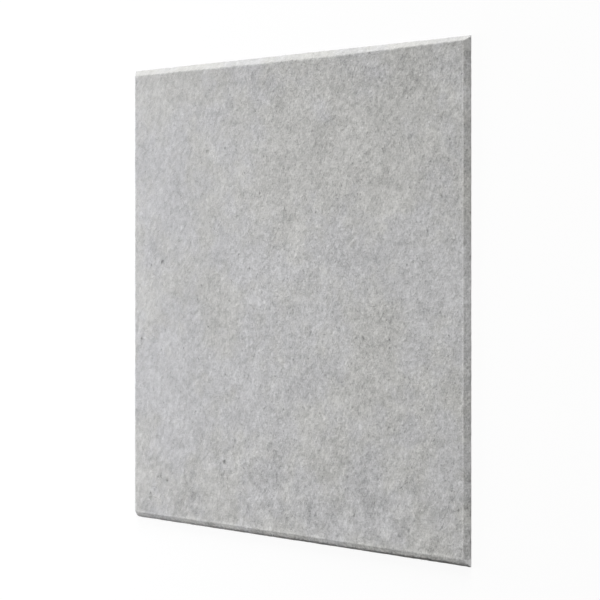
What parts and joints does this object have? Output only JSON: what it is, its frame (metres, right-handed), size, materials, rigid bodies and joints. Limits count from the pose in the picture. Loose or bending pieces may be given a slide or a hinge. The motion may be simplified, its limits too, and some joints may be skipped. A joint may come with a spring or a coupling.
{
  "type": "sound absorbing panel",
  "caption": "Square sound absorbing tile of pressed grey felt, flat on both faces, with a bevel around the front face and a narrow straight land at the back edge.",
  "frame": {"origin": "centre of the flat back face", "axes": "+Z out of the front face, +Y towards the edge that is uppermost in the picture, +X to the right as seen from the front"},
  "size_m": [0.6, 0.6, 0.007],
  "materials": {
    "grey_felt": "matt pressed felt, pale heather grey"
  },
  "bodies": {
    "root": {"felt_panel": "grey_felt"}
  },
  "joints": []
}
